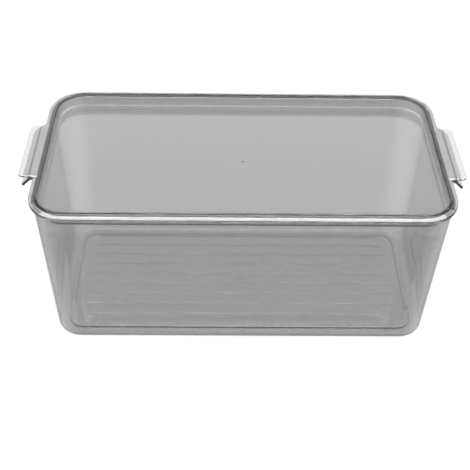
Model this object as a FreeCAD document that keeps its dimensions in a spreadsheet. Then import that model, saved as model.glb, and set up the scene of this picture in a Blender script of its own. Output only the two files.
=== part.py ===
import FreeCAD, Part
import math
import os
import Sketcher

# Clear fridge storage bin: an open tub with a grip lip at each end, and a lift-off lid whose sunk
# panel plugs the tub's mouth.  Millimetres.  +Z is up, X runs along the bin.  The origin is the
# centre of the footprint, on the surface that the tub stands on.

DRIVING_DIMENSIONS = {
    # tub
    "rim_length": 320.0,            # over the rim flange, without the grips
    "rim_width": 167.0,
    "rim_corner": 28.0,
    "rim_height": 140.4,            # top of the tub's rim, where the lid lies
    "flange_overhang": 2.5,         # how far the rim stands out of the wall
    "flange_thickness": 1.8,
    "base_length": 306.0,
    "base_width": 140.4,
    "base_corner": 21.5,
    "base_fillet": 6.0,
    "wall_thickness": 2.0,
    "floor_thickness": 2.2,
    "cavity_fillet": 4.0,
    "corner_thinning": 1.8,         # how much sharper the cavity's corners are than an even wall's
    # raised centre of the tub's floor, which leaves a standing ring round the underside
    "panel_length": 284.0,
    "panel_width": 118.0,
    "panel_corner": 11.0,
    "panel_rise": 1.2,
    "rib_length": 261.6,
    "rib_width": 3.0,
    "rib_height": 0.45,
    "rib_root": 0.2,                # how deep a rib's section starts inside the floor
    "rib_pitch": 12.4,
    "rib_count": 10.0,
    # grip lip at each end of the tub
    "grip_width": 68.0,
    "grip_start": 161.0,            # distance from the centre to where the lip starts to bend
    "grip_radius": 5.5,
    "grip_thickness": 2.0,
    "grip_sweep": 45.0,             # degrees of bend
    "grip_slope": 7.0,              # length of the straight part after the bend
    # lid
    "lid_flange_thickness": 1.6,
    "tab_reach": 171.6,             # distance from the centre to the tab's end
    "tab_width": 67.0,
    "tab_corner": 3.2,
    "bead_inset": 4.1,              # lid edge to the outside of the stacking bead
    "bead_width": 2.4,
    "bead_height": 2.2,
    "bead_rounding": 1.1,
    "panel_depth": 8.7,             # top of the lid's flange down to its sunk panel
    "panel_thickness": 1.6,
    "plug_draft": 0.6,
    "recess_fillet": 1.2,
    "plug_clearance": 0.35,
    # moulding gate nubs
    "gate_radius": 2.4,
    "gate_height": 0.5,
}

UP = FreeCAD.Vector(0, 0, 1)
LID_TOP = "(Dims.rim_height + Dims.lid_flange_thickness)"
BEAD_TOP = "(Dims.rim_height + Dims.lid_flange_thickness + Dims.bead_height)"
GRIP_ROOT = "Dims.rim_length / 2 - Dims.flange_overhang - 1"
ROUNDING_ANGLES = (0, 30, 60, 90)       # degrees round each lofted rounding


def make_sheet(doc):
    """The driving dimensions, one named cell each."""
    sheet = doc.addObject("Spreadsheet::Sheet", "Dims")
    for row, (alias, value) in enumerate(DRIVING_DIMENSIONS.items(), start=1):
        sheet.set(f"A{row}", alias)
        sheet.set(f"B{row}", str(value))
        sheet.setAlias(f"B{row}", alias)
    doc.recompute()
    return sheet


def make_body(doc, label):
    body = doc.addObject("PartDesign::Body", label)
    body.Label = label
    body.Placement = FreeCAD.Placement()
    return body


def origin_plane(body, role):
    return next(feature for feature in body.Origin.OriginFeatures if feature.Role == role)


def make_sketch(body, name, role="XY_Plane", height="0"):
    """A sketch on one of the body's own origin planes, lifted along its normal by an expression."""
    sketch = body.newObject("Sketcher::SketchObject", name)
    sketch.AttachmentSupport = [(origin_plane(body, role), "")]
    sketch.MapMode = "FlatFace"
    sketch.setExpression("AttachmentOffset.Base.z", height)
    return sketch


def drive(sketch, constraint, expression):
    """Add a dimension constraint and bind it to the sheet."""
    index = sketch.addConstraint(constraint)
    sketch.setExpression(f"Constraints[{index}]", expression)


def point(x, y):
    return FreeCAD.Vector(x, y, 0)


def number(sketch, expression):
    return float(sketch.evalExpression(expression))


def rounded_outline(sketch, length, width, corner):
    """A rounded rectangle centred on the sketch's origin; the three sizes are expressions."""
    half_x = number(sketch, length) / 2
    half_y = number(sketch, width) / 2
    radius = number(sketch, corner)
    flat_x = half_x - radius
    flat_y = half_y - radius
    centres = [point(flat_x, -flat_y), point(flat_x, flat_y),
               point(-flat_x, flat_y), point(-flat_x, -flat_y)]
    starts = [point(-flat_x, -half_y), point(half_x, -flat_y),
              point(flat_x, half_y), point(-half_x, flat_y)]
    ends = [point(flat_x, -half_y), point(half_x, flat_y),
            point(-flat_x, half_y), point(-half_x, -flat_y)]
    for side in range(4):
        sketch.addGeometry(Part.LineSegment(starts[side], ends[side]))
        circle = Part.Circle(centres[side], UP, radius)
        sketch.addGeometry(Part.ArcOfCircle(circle, (side - 1) * math.pi / 2, side * math.pi / 2))
    for side in range(4):
        line, arc, next_line = 2 * side, 2 * side + 1, (2 * side + 2) % 8
        sketch.addConstraint(Sketcher.Constraint("Tangent", line, 2, arc, 1))
        sketch.addConstraint(Sketcher.Constraint("Tangent", arc, 2, next_line, 1))
        kind = "Horizontal" if side % 2 == 0 else "Vertical"
        sketch.addConstraint(Sketcher.Constraint(kind, line))
    for arc in (3, 5):
        sketch.addConstraint(Sketcher.Constraint("Equal", 1, arc))
    sketch.addConstraint(Sketcher.Constraint("Symmetric", 1, 3, 5, 3, -1, 1))
    drive(sketch, Sketcher.Constraint("DistanceX", 6, 1, 2, 1, 2 * half_x), length)
    drive(sketch, Sketcher.Constraint("DistanceY", 0, 1, 4, 1, 2 * half_y), width)
    drive(sketch, Sketcher.Constraint("Radius", 1, radius), corner)


def pad(body, name, sketch, length, sides="One side"):
    feature = body.newObject("PartDesign::Pad", name)
    feature.Profile = sketch
    feature.SideType = sides
    feature.setExpression("Length", length)
    return feature


def loft(body, kind, name, outlines):
    """A straight-sided loft through outlines; kind is Additive or Subtractive.

    Each outline is (height, length, width, corner), all expressions."""
    sketches = []
    for index, (height, length, width, corner) in enumerate(outlines):
        sketch = make_sketch(body, f"{name}_outline_{index}", height=height)
        rounded_outline(sketch, length, width, corner)
        sketches.append(sketch)
    feature = body.newObject(f"PartDesign::{kind}Loft", name)
    feature.Profile = sketches[0]
    feature.Sections = [(sketch, [""]) for sketch in sketches[1:]]
    feature.Ruled = True
    return feature


def rounded_end(outline, radius, rise=1, narrow=1):
    """The outlines of one rounded end of a loft.

    The end lies at the outline's height and is narrowed (or widened, with narrow=-1) by the radius;
    one radius further along, up or down with rise, the loft has the outline's own size."""
    height, length, width, corner = outline
    steps = []
    for angle in ROUNDING_ANGLES:
        inset = f"({narrow * (1 - math.sin(math.radians(angle))):.4f} * {radius})"
        offset = f"({rise * (1 - math.cos(math.radians(angle))):.4f} * {radius})"
        steps.append((f"{height} + {offset}", f"{length} - 2 * {inset}",
                      f"{width} - 2 * {inset}", f"{corner} - {inset}"))
    return steps


def mirror(body, name, feature):
    """Repeat a feature of the +X end at the -X end."""
    mirrored = body.newObject("PartDesign::Mirrored", name)
    mirrored.Originals = [feature]
    mirrored.MirrorPlane = (origin_plane(body, "YZ_Plane"), [""])
    body.Tip = mirrored
    return mirrored


def fillet(body, name, base, keep_edge, radius):
    """Round every edge of the base feature that keep_edge accepts."""
    body.Document.recompute()
    names = [f"Edge{i}" for i, edge in enumerate(base.Shape.Edges, start=1) if keep_edge(edge)]
    if not names:
        raise RuntimeError(f"{name}: no edge found")
    feature = body.newObject("PartDesign::Fillet", name)
    feature.Base = (base, names)
    feature.setExpression("Radius", radius)
    body.Tip = feature
    return feature


def at_height(height):
    """Accept edges that lie flat at one height."""
    def keep_edge(edge):
        box = edge.BoundBox
        return abs(box.ZMin - height) < 0.01 and abs(box.ZMax - height) < 0.01
    return keep_edge


def must_change(before, feature, sign):
    """Stop if a feature that should add (+1) or remove (-1) material does nothing."""
    feature.Document.recompute()
    change = (feature.Shape.Volume - before.Shape.Volume) * sign
    if change < 1.0:
        raise RuntimeError(f"{feature.Label} leaves the volume as it was")


def gate_nub(body, name, height):
    sketch = make_sketch(body, f"{name}_outline", height=height)
    radius = number(sketch, "Dims.gate_radius")
    sketch.addGeometry(Part.Circle(point(0, 0), UP, radius))
    sketch.addConstraint(Sketcher.Constraint("Coincident", 0, 3, -1, 1))
    drive(sketch, Sketcher.Constraint("Radius", 0, radius), "Dims.gate_radius")
    return pad(body, name, sketch, "Dims.gate_height")


def grip_profile(body):
    """The grip's section: a flat root inside the flange, then a lip that bends down."""
    sketch = make_sketch(body, "grip_profile", "XZ_Plane")
    top = number(sketch, "Dims.rim_height")
    start = number(sketch, "Dims.grip_start")
    outer = number(sketch, "Dims.grip_radius")
    inner = outer - number(sketch, "Dims.grip_thickness")
    root = number(sketch, GRIP_ROOT)
    sweep = math.radians(number(sketch, "Dims.grip_sweep"))
    centre = point(start, top - outer)
    outer_arc = Part.ArcOfCircle(Part.Circle(centre, UP, outer), math.pi / 2 - sweep, math.pi / 2)
    inner_arc = Part.ArcOfCircle(Part.Circle(centre, UP, inner), math.pi / 2 - sweep, math.pi / 2)
    slope = number(sketch, "Dims.grip_slope")
    along = point(math.cos(sweep), -math.sin(sweep)) * slope
    outer_tip, inner_tip = outer_arc.StartPoint + along, inner_arc.StartPoint + along
    underside = point(root, inner_arc.EndPoint.y)
    sketch.addGeometry(Part.LineSegment(point(root, top), outer_arc.EndPoint))
    sketch.addGeometry(outer_arc)
    sketch.addGeometry(Part.LineSegment(outer_arc.StartPoint, outer_tip))
    sketch.addGeometry(Part.LineSegment(outer_tip, inner_tip))
    sketch.addGeometry(Part.LineSegment(inner_tip, inner_arc.StartPoint))
    sketch.addGeometry(inner_arc)
    sketch.addGeometry(Part.LineSegment(inner_arc.EndPoint, underside))
    sketch.addGeometry(Part.LineSegment(underside, point(root, top)))
    sketch.addConstraint([
        Sketcher.Constraint("Horizontal", 0),
        Sketcher.Constraint("Tangent", 0, 2, 1, 2),
        Sketcher.Constraint("Tangent", 1, 1, 2, 1),
        Sketcher.Constraint("Coincident", 2, 2, 3, 1),
        Sketcher.Constraint("Coincident", 3, 2, 4, 1),
        Sketcher.Constraint("Tangent", 4, 2, 5, 1),
        Sketcher.Constraint("Tangent", 5, 2, 6, 1),
        Sketcher.Constraint("Coincident", 6, 2, 7, 1),
        Sketcher.Constraint("Coincident", 7, 2, 0, 1),
        Sketcher.Constraint("Vertical", 7),
        Sketcher.Constraint("Coincident", 1, 3, 5, 3),
        Sketcher.Constraint("Parallel", 2, 4),
        Sketcher.Constraint("Perpendicular", 2, 3),
    ])
    drive(sketch, Sketcher.Constraint("DistanceX", -1, 1, 0, 1, root), GRIP_ROOT)
    drive(sketch, Sketcher.Constraint("DistanceX", -1, 1, 0, 2, start), "Dims.grip_start")
    drive(sketch, Sketcher.Constraint("DistanceY", -1, 1, 0, 1, top), "Dims.rim_height")
    drive(sketch, Sketcher.Constraint("Radius", 1, outer), "Dims.grip_radius")
    drive(sketch, Sketcher.Constraint("Radius", 5, inner), "Dims.grip_radius - Dims.grip_thickness")
    drive(sketch, Sketcher.Constraint("Angle", 1, sweep), "Dims.grip_sweep")
    drive(sketch, Sketcher.Constraint("Distance", 2, slope), "Dims.grip_slope")
    return sketch


def add_tub_shell(body):
    """The drafted walls, the rim flange, the grips and the cavity."""
    rim = "Dims.rim_height"
    base = ("0", "Dims.base_length", "Dims.base_width", "Dims.base_corner")
    wall_top = (rim, "Dims.rim_length - 2 * Dims.flange_overhang",
                "Dims.rim_width - 2 * Dims.flange_overhang", "Dims.rim_corner - Dims.flange_overhang")
    walls = loft(body, "Additive", "walls", rounded_end(base, "Dims.base_fillet") + [wall_top])
    flange = make_sketch(body, "flange_outline", height=f"{rim} - Dims.flange_thickness")
    rounded_outline(flange, "Dims.rim_length", "Dims.rim_width", "Dims.rim_corner")
    rim_flange = pad(body, "flange", flange, "Dims.flange_thickness")
    must_change(walls, rim_flange, +1)
    grip = pad(body, "grip", grip_profile(body), "Dims.grip_width", "Symmetric")
    must_change(rim_flange, grip, +1)
    grips = mirror(body, "grip_mirrored", grip)
    must_change(grip, grips, +1)

    def inside(height, outer):
        """The cavity's outline at a height, one wall thickness inside an outer outline."""
        length, width, corner = outer[1:]
        return (height, f"{length} - 2 * Dims.wall_thickness",
                f"{width} - 2 * Dims.wall_thickness",
                f"{corner} - Dims.wall_thickness - Dims.corner_thinning")

    floor = inside("Dims.floor_thickness", base)
    mouth = inside(rim, wall_top)
    cavity = loft(body, "Subtractive", "cavity", rounded_end(floor, "Dims.cavity_fillet") + [mouth])
    must_change(grips, cavity, -1)


def rib_profile(body):
    """The first rib's section: a low segment of a circle on the floor's raised panel."""
    sketch = make_sketch(body, "rib_profile", "YZ_Plane")
    across = "Dims.rib_pitch * (Dims.rib_count - 1) / 2"
    radius = "(Dims.rib_width ^ 2 / 4 + Dims.rib_height ^ 2) / (2 * Dims.rib_height)"
    panel = "Dims.floor_thickness + Dims.panel_rise"
    sunk = f"{radius} - Dims.rib_height - ({panel})"
    root = f"{panel} - Dims.rib_root"
    centre = point(-number(sketch, across), -number(sketch, sunk))
    size = number(sketch, radius)
    rise = math.asin((number(sketch, root) - centre.y) / size)
    arc = Part.ArcOfCircle(Part.Circle(centre, UP, size), rise, math.pi - rise)
    sketch.addGeometry(arc)
    sketch.addGeometry(Part.LineSegment(arc.EndPoint, arc.StartPoint))
    sketch.addConstraint([
        Sketcher.Constraint("Coincident", 0, 2, 1, 1),
        Sketcher.Constraint("Coincident", 1, 2, 0, 1),
        Sketcher.Constraint("Horizontal", 1),
    ])
    drive(sketch, Sketcher.Constraint("DistanceX", 0, 3, -1, 1, -centre.x), across)
    drive(sketch, Sketcher.Constraint("DistanceY", 0, 3, -1, 1, -centre.y), sunk)
    drive(sketch, Sketcher.Constraint("Radius", 0, size), radius)
    drive(sketch, Sketcher.Constraint("DistanceY", -1, 1, 1, 1, arc.EndPoint.y), root)
    return sketch


def add_tub_floor(body):
    """The raised floor panel with its ribs, and the standing ring left round the underside."""
    panel = ("Dims.panel_length", "Dims.panel_width", "Dims.panel_corner")
    raised = make_sketch(body, "floor_panel_outline", height="Dims.floor_thickness")
    rounded_outline(raised, *panel)
    floor_panel = pad(body, "floor_panel", raised, "Dims.panel_rise")
    under = make_sketch(body, "underside_outline")
    rounded_outline(under, *panel)
    hollow = body.newObject("PartDesign::Pocket", "underside_recess")
    hollow.Profile = under
    hollow.Reversed = True
    hollow.setExpression("Length", "Dims.panel_rise")
    must_change(floor_panel, hollow, -1)
    rib = pad(body, "rib", rib_profile(body), "Dims.rib_length", "Symmetric")
    must_change(hollow, rib, +1)
    ribs = body.newObject("PartDesign::LinearPattern", "ribs")
    ribs.Originals = [rib]
    ribs.Direction = (origin_plane(body, "Y_Axis"), [""])
    ribs.setExpression("Length", "Dims.rib_pitch * (Dims.rib_count - 1)")
    ribs.setExpression("Occurrences", "Dims.rib_count")
    body.Tip = ribs
    must_change(rib, ribs, +1)
    gate_nub(body, "floor_gate", "Dims.floor_thickness + Dims.panel_rise")


def build_tub(doc):
    body = make_body(doc, "tub")
    add_tub_shell(body)
    add_tub_floor(body)
    return body


def tab_outline(body):
    """The lift tab's plan: a rectangle from inside the flange out to the tab's end."""
    sketch = make_sketch(body, "tab_outline", height="Dims.rim_height")
    root = number(sketch, GRIP_ROOT)
    reach = number(sketch, "Dims.tab_reach")
    half = number(sketch, "Dims.tab_width / 2")
    corners = [point(root, -half), point(reach, -half), point(reach, half), point(root, half)]
    for side in range(4):
        sketch.addGeometry(Part.LineSegment(corners[side], corners[(side + 1) % 4]))
    for side in range(4):
        sketch.addConstraint(Sketcher.Constraint("Coincident", side, 2, (side + 1) % 4, 1))
    sketch.addConstraint([
        Sketcher.Constraint("Horizontal", 0),
        Sketcher.Constraint("Horizontal", 2),
        Sketcher.Constraint("Vertical", 3),
        Sketcher.Constraint("Symmetric", 0, 2, 1, 2, -1),
    ])
    drive(sketch, Sketcher.Constraint("DistanceX", -1, 1, 0, 1, root), GRIP_ROOT)
    drive(sketch, Sketcher.Constraint("DistanceX", -1, 1, 0, 2, reach), "Dims.tab_reach")
    drive(sketch, Sketcher.Constraint("DistanceY", 1, 1, 1, 2, 2 * half), "Dims.tab_width")
    return sketch


def add_lid_rim(body):
    """The lid's flange, its two lift tabs and the stacking bead, still filled in the middle."""
    flange = make_sketch(body, "lid_outline", height="Dims.rim_height")
    rounded_outline(flange, "Dims.rim_length", "Dims.rim_width", "Dims.rim_corner")
    plate = pad(body, "lid_flange", flange, "Dims.lid_flange_thickness")
    tab = pad(body, "tab", tab_outline(body), "Dims.lid_flange_thickness")
    must_change(plate, tab, +1)
    tabs = mirror(body, "tab_mirrored", tab)
    must_change(tab, tabs, +1)
    reach = number(flange, "Dims.tab_reach")
    half_length = number(flange, "Dims.rim_length / 2")

    def upright_at_tab(edge):
        box = edge.BoundBox
        x = abs(box.XMin)
        upright = abs(box.XMax - box.XMin) < 0.01 and box.ZMax - box.ZMin > 1.0
        return upright and (abs(x - reach) < 0.01 or abs(x - half_length) < 0.01)

    shaped = fillet(body, "tab_corners", tabs, upright_at_tab, "Dims.tab_corner")
    inset = "Dims.bead_inset"
    bead = make_sketch(body, "bead_outline", height=LID_TOP)
    rounded_outline(bead, f"Dims.rim_length - 2 * {inset}", f"Dims.rim_width - 2 * {inset}",
                    f"Dims.rim_corner - {inset}")
    bead_pad = pad(body, "bead", bead, "Dims.bead_height")
    must_change(shaped, bead_pad, +1)
    bead_top = number(bead, BEAD_TOP)
    return fillet(body, "bead_rounding", bead_pad, at_height(bead_top), "Dims.bead_rounding")


def add_lid_panel(body, rim):
    """The plug that enters the tub's mouth and the recess that sinks the lid's panel."""
    panel_top = f"{LID_TOP} - Dims.panel_depth"
    plug_bottom = f"{panel_top} - Dims.panel_thickness"
    gap = "(Dims.flange_overhang + Dims.wall_thickness + Dims.plug_clearance)"
    plug_corner = f"Dims.rim_corner - {gap}"
    plug_top = ("Dims.rim_height", f"Dims.rim_length - 2 * {gap}",
                f"Dims.rim_width - 2 * {gap}", plug_corner)
    draft = "Dims.plug_draft"
    plug_end = (plug_bottom, f"{plug_top[1]} - 2 * {draft}", f"{plug_top[2]} - 2 * {draft}",
                f"{plug_corner} - {draft}")
    turn = "(Dims.recess_fillet + Dims.panel_thickness)"
    plug = loft(body, "Additive", "plug", rounded_end(plug_end, turn) + [plug_top])
    must_change(rim, plug, +1)
    wall = "(Dims.bead_inset + Dims.bead_width)"
    mouth = (BEAD_TOP, f"Dims.rim_length - 2 * {wall}", f"Dims.rim_width - 2 * {wall}",
             f"Dims.rim_corner - {wall}")
    panel = (panel_top, f"{mouth[1]} - 2 * {draft}", f"{mouth[2]} - 2 * {draft}",
             f"{mouth[3]} - {draft}")
    lip = rounded_end(mouth, "Dims.bead_rounding", rise=-1, narrow=-1)
    recess = loft(body, "Subtractive", "recess", rounded_end(panel, "Dims.recess_fillet") + lip[::-1])
    must_change(plug, recess, -1)
    gate_nub(body, "lid_gate", panel_top)


def build_lid(doc):
    body = make_body(doc, "lid")
    add_lid_panel(body, add_lid_rim(body))
    return body


def check(doc, bodies):
    """Stop if any object failed or any sub-part has no sound shape."""
    doc.recompute()
    for item in doc.Objects:
        if "Invalid" in item.State or "Error" in item.State:
            raise RuntimeError(f"{item.Label} failed: {item.State}")
    for body in bodies:
        if body.Shape.isNull() or not body.Shape.isValid() or len(body.Shape.Solids) != 1:
            raise RuntimeError(f"{body.Label} has no sound solid")


def main():
    doc = FreeCAD.newDocument("FridgeBin")
    make_sheet(doc)
    bodies = [build_tub(doc), build_lid(doc)]
    check(doc, bodies)
    os.makedirs("parts", exist_ok=True)
    for body in bodies:
        box = body.Shape.BoundBox
        print(f"{body.Label}: {box.XLength:.1f} x {box.YLength:.1f} x {box.ZLength:.1f} mm, "
              f"{body.Shape.Volume / 1000:.1f} cm3")
        body.Shape.exportStep(f"parts/{body.Label}.step")


main()
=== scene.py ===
from math import cos, pi, radians, sin

import bmesh
import bpy
from mathutils import Matrix, Vector
from mathutils.geometry import delaunay_2d_cdt


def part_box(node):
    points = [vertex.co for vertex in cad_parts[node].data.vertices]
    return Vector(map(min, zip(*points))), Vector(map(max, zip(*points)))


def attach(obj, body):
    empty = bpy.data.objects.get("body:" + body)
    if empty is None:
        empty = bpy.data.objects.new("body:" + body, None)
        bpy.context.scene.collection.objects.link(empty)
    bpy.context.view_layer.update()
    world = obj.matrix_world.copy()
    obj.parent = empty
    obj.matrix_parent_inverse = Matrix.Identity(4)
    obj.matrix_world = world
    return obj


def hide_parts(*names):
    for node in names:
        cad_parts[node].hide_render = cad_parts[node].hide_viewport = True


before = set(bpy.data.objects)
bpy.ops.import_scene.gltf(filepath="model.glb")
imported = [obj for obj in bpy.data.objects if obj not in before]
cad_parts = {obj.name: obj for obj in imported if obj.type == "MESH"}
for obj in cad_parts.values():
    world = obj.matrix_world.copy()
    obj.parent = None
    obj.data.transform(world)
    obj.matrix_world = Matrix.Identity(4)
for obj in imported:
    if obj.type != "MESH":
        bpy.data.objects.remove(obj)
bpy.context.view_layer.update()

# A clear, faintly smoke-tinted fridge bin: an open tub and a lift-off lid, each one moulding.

MM = 0.001

# ---------------------------------------------------------------- sizes, in millimetres
TUB_HIGH = [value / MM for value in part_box("tub")[1]]
LID_HIGH = [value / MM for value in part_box("lid")[1]]
RIM_Z = TUB_HIGH[2]                     # the tub's rim, where the lid lies
RIM_Y = TUB_HIGH[1]                     # half the rim flange's width
RIM_X, RIM_CORNER = 160.0, 28.0

OVERHANG = 2.5                          # rim flange beyond the wall
FLANGE = 1.8
WALL = 2.0
BASE_X, BASE_Y, BASE_CORNER, BASE_ROUND = 153.0, 70.2, 21.5, 6.0
FLOOR, CAVITY_ROUND = 2.2, 4.0
CORNER_THINNING = 1.8                   # how much sharper the cavity's corners are than an even wall's
PANEL_X, PANEL_Y, PANEL_CORNER, PANEL_RISE = 142.0, 59.0, 11.0, 1.2
RIB_X, RIB_WIDTH, RIB_HEIGHT, RIB_PITCH, RIB_COUNT = 130.8, 3.0, 0.45, 12.4, 10

GRIP_HALF, GRIP_START, GRIP_RADIUS, GRIP_THICK = 34.0, 161.0, 5.5, 2.0
GRIP_SWEEP, GRIP_SLOPE = radians(45), 7.0

LID_FLANGE = 1.6
LID_Z = RIM_Z + LID_FLANGE              # top of the lid's flange
CONTACT_GAP = 0.05                      # air left under the lid's flange and under the tub
TAB_X, TAB_HALF, TAB_CORNER = LID_HIGH[0], 33.5, 3.2
BEAD_INSET, BEAD_WIDTH, BEAD_HEIGHT, BEAD_ROUND = 4.1, 2.4, 2.2, 1.1
SUNK_DEPTH, SUNK_THICK, SUNK_DRAFT, SUNK_ROUND = 8.7, 1.6, 0.6, 1.2
PLUG_GAP = 0.35                         # between the lid's plug and the tub's mouth
GATE_RADIUS, GATE_HEIGHT = 2.4, 0.5
DIMPLE_RADIUS, DIMPLE_HEIGHT = 0.72, 0.3            # the hollow in the top of the gate nub

EDGE_ROUND = 0.5                        # fine rounding of the flanges' edges
CROWN = 0.45                            # fall of the lid's flange from its bead to its edge
FOOT_ROUND = 0.35                       # fine fillets in the inner corners
STEP_ROUND = 0.55                       # roundings of the step round the floor's raised panel
CORNER_STEPS = 20
ROUND_STEPS = 5
RIB_STEPS = (0.0, 0.06, 0.15, 0.27, 0.41, 0.57, 0.74, 0.9)     # shares of a rib's half width
BEND_STEPS, SLOPE_STEPS = 10, 3         # along a grip's lip
HOLLOW_SHARE, CORNER_SHARE = 0.45, 0.25             # how the plain loops' points gather at a tab
SHARP_ANGLE = radians(40)


# ---------------------------------------------------------------- outlines
def quarter(steps=ROUND_STEPS):
    """Angles from 0 to a right angle."""
    return [pi / 2 * step / steps for step in range(steps + 1)]


def rounding(radius, steps=ROUND_STEPS):
    """Pairs round a quarter circle: the first falls from the radius to 0 as the second grows to it."""
    return [(radius * (1 - sin(angle)), radius * (1 - cos(angle))) for angle in quarter(steps)]


def outline(half_x, half_y, corner, z, side):
    """A rounded rectangle at one height, anticlockwise from the foot of the +X side.

    side lists the (x, y) points between the corners on the +X side; the -X side repeats them,
    turned round."""
    flat_x, flat_y = half_x - corner, half_y - corner
    points = []
    for turn in range(4):
        if turn in (0, 2):
            sign = 1 if turn == 0 else -1
            points += [(sign * x, sign * y, z) for x, y in side]
        sign_x = 1 if turn in (0, 3) else -1
        sign_y = 1 if turn in (0, 1) else -1
        for step in range(CORNER_STEPS + 1):
            angle = pi / 2 * (turn + step / CORNER_STEPS)
            points.append((sign_x * flat_x + corner * cos(angle),
                           sign_y * flat_y + corner * sin(angle), z))
    return points


def straight_outline(half_x, half_y, corner, z, columns):
    """A rounded rectangle with straight short sides, which have points at the Y values in columns."""
    return outline(half_x, half_y, corner, z, [(half_x, y) for y in columns])


def rim_outline(inset, z, columns):
    """The rim's own outline, moved inwards."""
    return straight_outline(RIM_X - inset, RIM_Y - inset, RIM_CORNER - inset, z, columns)


def tab_outline(inset, z):
    """The lid's edge, with a lift tab on each short side, moved inwards."""
    rim, side, end = RIM_X - inset, TAB_HALF - inset, TAB_X - inset
    hollow, corner = TAB_CORNER + inset, TAB_CORNER - inset
    half = [(rim + x, side + y) for y, x in rounding(hollow)]
    half += [(end - x, side - y) for x, y in rounding(corner)]
    tab = [(x, -y) for x, y in half] + half[::-1]
    return outline(rim, RIM_Y - inset, RIM_CORNER - inset, z, tab)


def circle(radius, z, steps=24):
    angles = [2 * pi * step / steps for step in range(steps)]
    return [(radius * cos(angle), radius * sin(angle), z) for angle in angles]


def stadium(half_x, half_y, y, z, steps=6):
    """A long slot shape along X, centred at y."""
    points = []
    for side in (1, -1):
        for step in range(steps + 1):
            angle = pi * (step / steps - 0.5)
            points.append((side * (half_x - half_y + half_y * cos(angle)),
                           y + side * half_y * sin(angle), z))
    return points


# ---------------------------------------------------------------- closed shells
class Shell:
    """A closed mesh built from loops of points; loops of equal length are joined by bands."""

    def __init__(self):
        self.bm = bmesh.new()

    def loop(self, points, left_out=()):
        """New vertices, with None for each point that is left out."""
        return [None if index in left_out else self.bm.verts.new([value * MM for value in point])
                for index, point in enumerate(points)]

    def band(self, lower, upper, skip=()):
        """Quads between two loops, except at the columns in skip."""
        count = len(lower)
        for column in range(count):
            if column not in skip:
                after = (column + 1) % count
                self.bm.faces.new((lower[column], lower[after], upper[after], upper[column]))

    def bands(self, loops, skip=()):
        for lower, upper in zip(loops, loops[1:]):
            self.band(lower, upper, skip)

    def strip(self, first, second):
        """Quads between two open rows of vertices."""
        for index in range(len(first) - 1):
            self.bm.faces.new((first[index], first[index + 1], second[index + 1], second[index]))

    def sheet(self, edge, islands):
        """A flat face inside a loop, with a hole where each island's loop lies."""
        loops = [edge] + islands
        verts = [vert for loop in loops for vert in loop]
        polygons, start = [], 0
        for loop in loops:
            polygons.append(list(range(start, start + len(loop))))
            start += len(loop)
        flat = [Vector((vert.co.x / MM, vert.co.y / MM)) for vert in verts]
        places, _, triangles, sources, _, origins = delaunay_2d_cdt(flat, [], polygons, 1, 1e-5)
        if len(places) != len(verts):
            raise RuntimeError("a flat sheet's loops cross")
        for triangle, origin in zip(triangles, origins):
            if origin == [0]:
                self.bm.faces.new([verts[sources[index][0]] for index in triangle])

    def piece(self, name):
        """The finished object, closed and smooth."""
        bmesh.ops.recalc_face_normals(self.bm, faces=self.bm.faces)
        open_edges = [edge for edge in self.bm.edges if not edge.is_manifold]
        if open_edges:
            raise RuntimeError(f"{name} has {len(open_edges)} open edges")
        mesh = bpy.data.meshes.new(name)
        self.bm.to_mesh(mesh)
        self.bm.free()
        mesh.shade_smooth()
        mesh.set_sharp_from_angle(angle=SHARP_ANGLE)
        made = bpy.data.objects.new(name, mesh)
        bpy.context.collection.objects.link(made)
        normals = made.modifiers.new("flats_stay_flat", "WEIGHTED_NORMAL")
        normals.mode = "FACE_AREA"
        normals.weight = 100
        normals.keep_sharp = True
        return made


def add_gate_nub(shell, z):
    """The low round mark where the plastic entered the mould; returns the loop at its foot."""
    foot = shell.loop(circle(GATE_RADIUS, z))
    loops = [foot]
    for angle in quarter(4)[1:]:
        radius = GATE_RADIUS - 2 * GATE_HEIGHT * (1 - cos(angle))
        loops.append(shell.loop(circle(radius, z + GATE_HEIGHT * sin(angle))))
    loops.append(shell.loop(circle(DIMPLE_RADIUS, z + DIMPLE_HEIGHT)))
    shell.bands(loops)
    shell.bm.faces.new(loops[-1])
    return foot


def add_rib(shell, y, z):
    """One long low rib with a rounded back; returns the loop at its foot."""
    loops = []
    for share in RIB_STEPS:
        half = RIB_WIDTH / 2 * (1 - share)
        height = RIB_HEIGHT * (1 - (1 - share) ** 2)
        loops.append(shell.loop(stadium(RIB_X - RIB_WIDTH / 2 + half, half, y, z + height)))
    shell.bands(loops)
    shell.bm.faces.new(loops[-1])
    return loops[0]


# ---------------------------------------------------------------- tub
def grip_columns():
    """(y, inset) of each column across a grip: its two side edges are rounded."""
    half = [(GRIP_HALF - short, inset) for short, inset in rounding(EDGE_ROUND, 4)]
    return [(-y, inset) for y, inset in half[::-1]] + half


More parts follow.
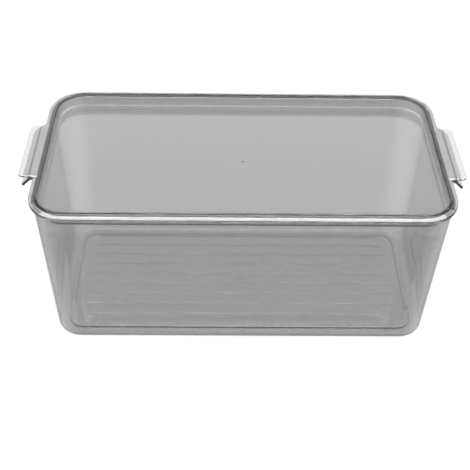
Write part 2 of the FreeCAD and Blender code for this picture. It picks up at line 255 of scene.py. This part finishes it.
def grip_profile(inset):
    """(x, z) points round the grip's lip, from its root's top to its root's underside.

    The lip is a bend and then a straight slope."""
    centre_z = RIM_Z - GRIP_RADIUS
    outer, inner = GRIP_RADIUS - inset, GRIP_RADIUS - GRIP_THICK + inset
    end = min(EDGE_ROUND, (outer - inner) / 2)
    length = GRIP_SLOPE - inset - end
    bend = [GRIP_SWEEP * step / BEND_STEPS for step in range(BEND_STEPS + 1)]
    slope = [length * step / SLOPE_STEPS for step in range(1, SLOPE_STEPS + 1)]

    def place(radius, angle, beyond=0.0):
        return (GRIP_START + radius * sin(angle) + beyond * cos(angle),
                centre_z + radius * cos(angle) - beyond * sin(angle))

    tip = length + end
    profile = [place(outer, angle) for angle in bend]
    profile += [place(outer, GRIP_SWEEP, beyond) for beyond in slope]
    profile += [place(outer - drop, GRIP_SWEEP, tip - back) for back, drop in rounding(end, 3)[1:]]
    profile += [place(inner + rise, GRIP_SWEEP, tip - back) for rise, back in rounding(end, 3)[:-1]]
    profile += [place(inner, GRIP_SWEEP, beyond) for beyond in slope[::-1]]
    profile += [place(inner, angle) for angle in bend[::-1]]
    return profile


def wall_outline(z, inset, columns, sharper=0.0):
    """The tub's drafted outer wall at height z, moved inwards, with corners sharper by that much."""
    rise = z / RIM_Z
    half_x = BASE_X + (RIM_X - OVERHANG - BASE_X) * rise - inset
    half_y = BASE_Y + (RIM_Y - OVERHANG - BASE_Y) * rise - inset
    corner = BASE_CORNER + (RIM_CORNER - OVERHANG - BASE_CORNER) * rise - inset - sharper
    return straight_outline(half_x, half_y, corner, z, columns)


def step_loops(shell, low, columns):
    """Loops up the small step round the floor's raised panel, from height low."""
    def panel(inset, z):
        half_x, half_y, corner = PANEL_X - inset, PANEL_Y - inset, PANEL_CORNER - inset
        return shell.loop(straight_outline(half_x, half_y, corner, z, columns))

    loops = [panel(-out, low + rise) for out, rise in rounding(STEP_ROUND, 4)]
    high = low + PANEL_RISE
    loops += [panel(inset, high - drop) for drop, inset in rounding(STEP_ROUND, 4)]
    return loops


def build_tub():
    shell = Shell()
    columns = [y for y, _ in grip_columns()]
    count = len(columns)
    turned = count + 2 * (CORNER_STEPS + 1)             # first column of the -X side
    sides = (0, turned)
    inside = {start + index for start in sides for index in range(1, count - 1)}
    skipped = {start + index for start in sides for index in range(count - 1)}

    def rim(inset, z, left_out=()):
        return shell.loop(rim_outline(inset, z, columns), left_out)

    def wall(z, inset=0.0, sharper=0.0):
        return shell.loop(wall_outline(z, inset, columns, sharper))

    # underside: recessed panel, standing ring, rounded base, outer wall
    under = step_loops(shell, 0.0, columns)[::-1]
    outside = [wall(rise, inset) for inset, rise in rounding(BASE_ROUND, 8)]
    below = RIM_Z - FLANGE
    outside += [wall(below - drop, -out) for drop, out in rounding(FOOT_ROUND, 3)]
    lower = rim(EDGE_ROUND, below)
    shell.bands(under + outside + [lower])
    shell.sheet(under[0], [])

    # flange edge, open where the grips leave it
    edge = [rim(inset, below + rise, inside) for inset, rise in rounding(EDGE_ROUND, 3)[1:]]
    edge += [rim(inset, RIM_Z - drop, inside) for drop, inset in rounding(EDGE_ROUND, 3)[:-1]]
    upper = rim(EDGE_ROUND, RIM_Z)
    shell.bands([lower] + edge + [upper], skipped)

    # mouth, cavity wall, cavity floor and its raised panel
    mouth = [wall(RIM_Z - drop, WALL - out, CORNER_THINNING) for out, drop in rounding(EDGE_ROUND, 3)]
    bottom = [wall(FLOOR + rise, WALL + inset, CORNER_THINNING)
              for rise, inset in rounding(CAVITY_ROUND, 8)]
    step = step_loops(shell, FLOOR, columns)
    shell.bands([upper] + mouth + bottom + step)
    top = FLOOR + PANEL_RISE
    places = [(index - (RIB_COUNT - 1) / 2) * RIB_PITCH for index in range(RIB_COUNT)]
    ribs = [add_rib(shell, place, top) for place in places]
    shell.sheet(step[-1], ribs + [add_gate_nub(shell, top)])

    # grips
    for sign, start in zip((1, -1), sides):
        rows = []
        for index, (y, inset) in enumerate(grip_columns()):
            column = start + index
            lip = [shell.bm.verts.new((sign * x * MM, sign * y * MM, z * MM))
                   for x, z in grip_profile(inset)]
            rows.append([upper[column]] + lip + [lower[column]])
        for first, second in zip(rows, rows[1:]):
            shell.strip(first, second)
        for row, column in ((rows[0], start), (rows[-1], start + count - 1)):
            shell.bm.faces.new(row + [loop[column] for loop in edge])
    return shell.piece("tub_moulding")


# ---------------------------------------------------------------- lid
def lid_columns():
    """Y values on the lid's plain loops that match the points of tab_outline()."""
    root, end = TAB_HALF + TAB_CORNER, TAB_HALF - TAB_CORNER
    foot, shoulder = TAB_HALF + HOLLOW_SHARE * TAB_CORNER, TAB_HALF - CORNER_SHARE * TAB_CORNER
    steps = [step / ROUND_STEPS for step in range(ROUND_STEPS + 1)]
    half = [root + (foot - root) * share for share in steps]
    half += [shoulder + (end - shoulder) * share for share in steps]
    return [-y for y in half] + half[::-1]


def build_lid():
    shell = Shell()
    columns = lid_columns()

    def rim(inset, z):
        return shell.loop(rim_outline(inset, z, columns))

    sunk_top, sunk_below = LID_Z - SUNK_DEPTH, LID_Z - SUNK_DEPTH - SUNK_THICK
    below = RIM_Z + CONTACT_GAP
    plug = OVERHANG + WALL + PLUG_GAP                   # inset of the plug's outside at the flange
    deep = plug + SUNK_DRAFT
    recess = BEAD_INSET + BEAD_WIDTH                    # inset of the recess at the bead
    deep_recess = recess + SUNK_DRAFT
    bead_top = LID_Z + BEAD_HEIGHT

    turn = SUNK_ROUND + SUNK_THICK                      # keeps the plug's lower corner as thin as its walls
    loops = [rim(deep + inset, sunk_below + rise) for inset, rise in rounding(turn, 8)]
    loops += [rim(plug - out, below - drop) for drop, out in rounding(PLUG_GAP, 3)]
    edge = [(inset, below + rise) for inset, rise in rounding(EDGE_ROUND)]
    edge += [(inset, LID_Z - CROWN - drop) for drop, inset in rounding(EDGE_ROUND)]
    loops += [shell.loop(tab_outline(inset, z)) for inset, z in edge]
    loops += [rim(BEAD_INSET - out, LID_Z + rise) for out, rise in rounding(FOOT_ROUND, 3)]
    loops += [rim(BEAD_INSET + inset, bead_top - drop) for drop, inset in rounding(BEAD_ROUND)]
    loops += [rim(recess - out, bead_top - drop) for out, drop in rounding(BEAD_ROUND)]
    loops += [rim(deep_recess + inset, sunk_top + rise) for rise, inset in rounding(SUNK_ROUND)]
    shell.bands(loops)
    shell.sheet(loops[0], [])
    shell.sheet(loops[-1], [add_gate_nub(shell, sunk_top)])
    return shell.piece("lid_moulding")


# ---------------------------------------------------------------- material
REFRACTION = 1.57                       # a styrene-type clear plastic
SMOKE_DENSITY = 270.0                   # absorption per metre
SMOKE_COLOUR = (0.0, 0.0, 0.004, 1.0)   # nearly even absorption, so the tint is a neutral grey
HAZE_SCALE, HAZE_DETAIL = 60.0, 4.0     # fine marks that vary the roughness
HAZE_FROM, HAZE_TO = (0.3, 0.75), (0.015, 0.06)
FLOW_SCALE, FLOW_DETAIL = 22.0, 2.0     # slight waviness from the moulding
FLOW_STRENGTH, FLOW_DISTANCE = 0.2, 0.0002


def clear_plastic(name, seed):
    """Smoke-tinted clear plastic; seed moves the haze and waviness so that pieces differ."""
    material = bpy.data.materials.new(name)
    material.use_nodes = True
    nodes, links = material.node_tree.nodes, material.node_tree.links
    nodes.clear()
    output = nodes.new("ShaderNodeOutputMaterial")
    shader = nodes.new("ShaderNodeBsdfPrincipled")
    shader.inputs["Base Color"].default_value = (1.0, 1.0, 1.0, 1.0)
    shader.inputs["Transmission Weight"].default_value = 1.0
    shader.inputs["IOR"].default_value = REFRACTION
    links.new(shader.outputs["BSDF"], output.inputs["Surface"])

    smoke = nodes.new("ShaderNodeVolumeAbsorption")
    smoke.inputs["Color"].default_value = SMOKE_COLOUR
    smoke.inputs["Density"].default_value = SMOKE_DENSITY
    links.new(smoke.outputs["Volume"], output.inputs["Volume"])

    place = nodes.new("ShaderNodeTexCoord")
    shift = nodes.new("ShaderNodeMapping")
    shift.inputs["Location"].default_value = (seed, seed * 0.7, seed * 0.3)
    links.new(place.outputs["Object"], shift.inputs["Vector"])

    haze = nodes.new("ShaderNodeTexNoise")
    haze.inputs["Scale"].default_value = HAZE_SCALE
    haze.inputs["Detail"].default_value = HAZE_DETAIL
    links.new(shift.outputs["Vector"], haze.inputs["Vector"])
    spread = nodes.new("ShaderNodeMapRange")
    spread.inputs["From Min"].default_value, spread.inputs["From Max"].default_value = HAZE_FROM
    spread.inputs["To Min"].default_value, spread.inputs["To Max"].default_value = HAZE_TO
    links.new(haze.outputs["Fac"], spread.inputs["Value"])
    links.new(spread.outputs["Result"], shader.inputs["Roughness"])

    flow = nodes.new("ShaderNodeTexNoise")
    flow.inputs["Scale"].default_value = FLOW_SCALE
    flow.inputs["Detail"].default_value = FLOW_DETAIL
    links.new(shift.outputs["Vector"], flow.inputs["Vector"])
    bump = nodes.new("ShaderNodeBump")
    bump.inputs["Strength"].default_value = FLOW_STRENGTH
    bump.inputs["Distance"].default_value = FLOW_DISTANCE
    links.new(flow.outputs["Fac"], bump.inputs["Height"])
    links.new(bump.outputs["Normal"], shader.inputs["Normal"])
    return material


# ---------------------------------------------------------------- studio
CAMERA_PLACE = Vector((-17.67, -584.96, 576.75)) * MM
CAMERA_YAW, CAMERA_PITCH, CAMERA_ROLL = radians(1.26), radians(41.82), radians(1.22)
SENSOR, LENS = 36.0, 70.47
TABLE_GLOW, HORIZON_GLOW, CEILING_GLOW = 0.985, 1.1, 0.1
TABLE_HALF, TABLE_REFLECTANCE, TABLE_ROUGHNESS = 3.0, 0.04, 0.9
HORIZON_TOP, CEILING_START = radians(10), radians(24)
SOFTBOXES = (                           # name, elevation in degrees, distance, size, radiance
    ("back_softbox", 37, 2.0, (3.0, 0.75), 1.65),
    ("edge_strip", 60.5, 1.93, (2.6, 0.3), 7.5),
    ("top_softbox", 80, 1.55, (1.8, 1.9), 4.5),
    ("key_lamp", 74, 1.5, (1.6, 0.12), 22.0),
)
BOUNCES = 32


def add_camera():
    ahead = Vector((sin(CAMERA_YAW), cos(CAMERA_YAW), 0.0))
    forward = ahead * cos(CAMERA_PITCH) - Vector((0.0, 0.0, sin(CAMERA_PITCH)))
    level = Vector((cos(CAMERA_YAW), -sin(CAMERA_YAW), 0.0))
    above = level.cross(forward)
    right = level * cos(CAMERA_ROLL) + above * sin(CAMERA_ROLL)
    up = above * cos(CAMERA_ROLL) - level * sin(CAMERA_ROLL)
    data = bpy.data.cameras.new("camera")
    data.sensor_width, data.lens = SENSOR, LENS
    data.clip_start, data.clip_end = 0.01, 50.0
    camera = bpy.data.objects.new("camera", data)
    turn = Matrix((right, up, -forward)).transposed()
    camera.matrix_world = Matrix.Translation(CAMERA_PLACE) @ turn.to_4x4()
    bpy.context.collection.objects.link(camera)
    bpy.context.scene.camera = camera


def add_floor():
    """A lit white table."""
    mesh = bpy.data.meshes.new("studio_floor")
    corners = [(x * TABLE_HALF, y * TABLE_HALF, 0) for x, y in ((-1, -1), (1, -1), (1, 1), (-1, 1))]
    mesh.from_pydata(corners, [], [(0, 1, 2, 3)])
    floor = bpy.data.objects.new("studio_floor", mesh)
    floor.location.z = -CONTACT_GAP * MM
    bpy.context.collection.objects.link(floor)
    table = bpy.data.materials.new("lit_white_table")
    table.use_nodes = True
    shader = table.node_tree.nodes["Principled BSDF"]
    shader.inputs["Base Color"].default_value = (TABLE_REFLECTANCE,) * 3 + (1.0,)
    shader.inputs["Roughness"].default_value = TABLE_ROUGHNESS
    shader.inputs["Specular IOR Level"].default_value = 0.0
    shader.inputs["Emission Color"].default_value = (1.0, 1.0, 1.0, 1.0)
    shader.inputs["Emission Strength"].default_value = TABLE_GLOW
    mesh.materials.append(table)


def add_softbox(name, elevation, distance, size, radiance):
    """A rectangular soft light behind or over the object, facing it."""
    data = bpy.data.lights.new(name, "AREA")
    data.shape = "RECTANGLE"
    data.size, data.size_y = size
    data.energy = radiance * pi * size[0] * size[1]
    light = bpy.data.objects.new(name, data)
    above = radians(elevation)
    towards = Vector((0.0, cos(above), sin(above)))
    light.location = towards * distance
    light.rotation_euler = towards.to_track_quat("Z", "Y").to_euler()
    bpy.context.collection.objects.link(light)


def add_world():
    """A studio that is white round the horizon and dimmer overhead."""
    world = bpy.data.worlds.new("studio")
    bpy.context.scene.world = world
    world.use_nodes = True
    nodes, links = world.node_tree.nodes, world.node_tree.links
    place = nodes.new("ShaderNodeTexCoord")
    split = nodes.new("ShaderNodeSeparateXYZ")
    fade = nodes.new("ShaderNodeMapRange")
    fade.inputs["From Min"].default_value = sin(HORIZON_TOP)
    fade.inputs["From Max"].default_value = sin(CEILING_START)
    fade.inputs["To Min"].default_value = HORIZON_GLOW
    fade.inputs["To Max"].default_value = CEILING_GLOW
    fade.interpolation_type = "SMOOTHSTEP"
    links.new(place.outputs["Generated"], split.inputs["Vector"])
    links.new(split.outputs["Z"], fade.inputs["Value"])
    links.new(fade.outputs["Result"], nodes["Background"].inputs["Strength"])
    nodes["Background"].inputs["Color"].default_value = (1.0, 1.0, 1.0, 1.0)


# ---------------------------------------------------------------- assembly
PIECES = ((build_tub(), "tub", "tub_plastic", 1.0), (build_lid(), "lid", "lid_plastic", 5.0))
for piece, body, slot, seed in PIECES:
    piece.data.materials.append(clear_plastic(slot, seed))
    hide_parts(body)
    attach(piece, body)

add_floor()
add_world()
for softbox in SOFTBOXES:
    add_softbox(*softbox)
add_camera()
scene = bpy.context.scene
scene.view_settings.view_transform = "Standard"
scene.cycles.max_bounces = BOUNCES
scene.cycles.transmission_bounces = BOUNCES
scene.cycles.transparent_max_bounces = BOUNCES
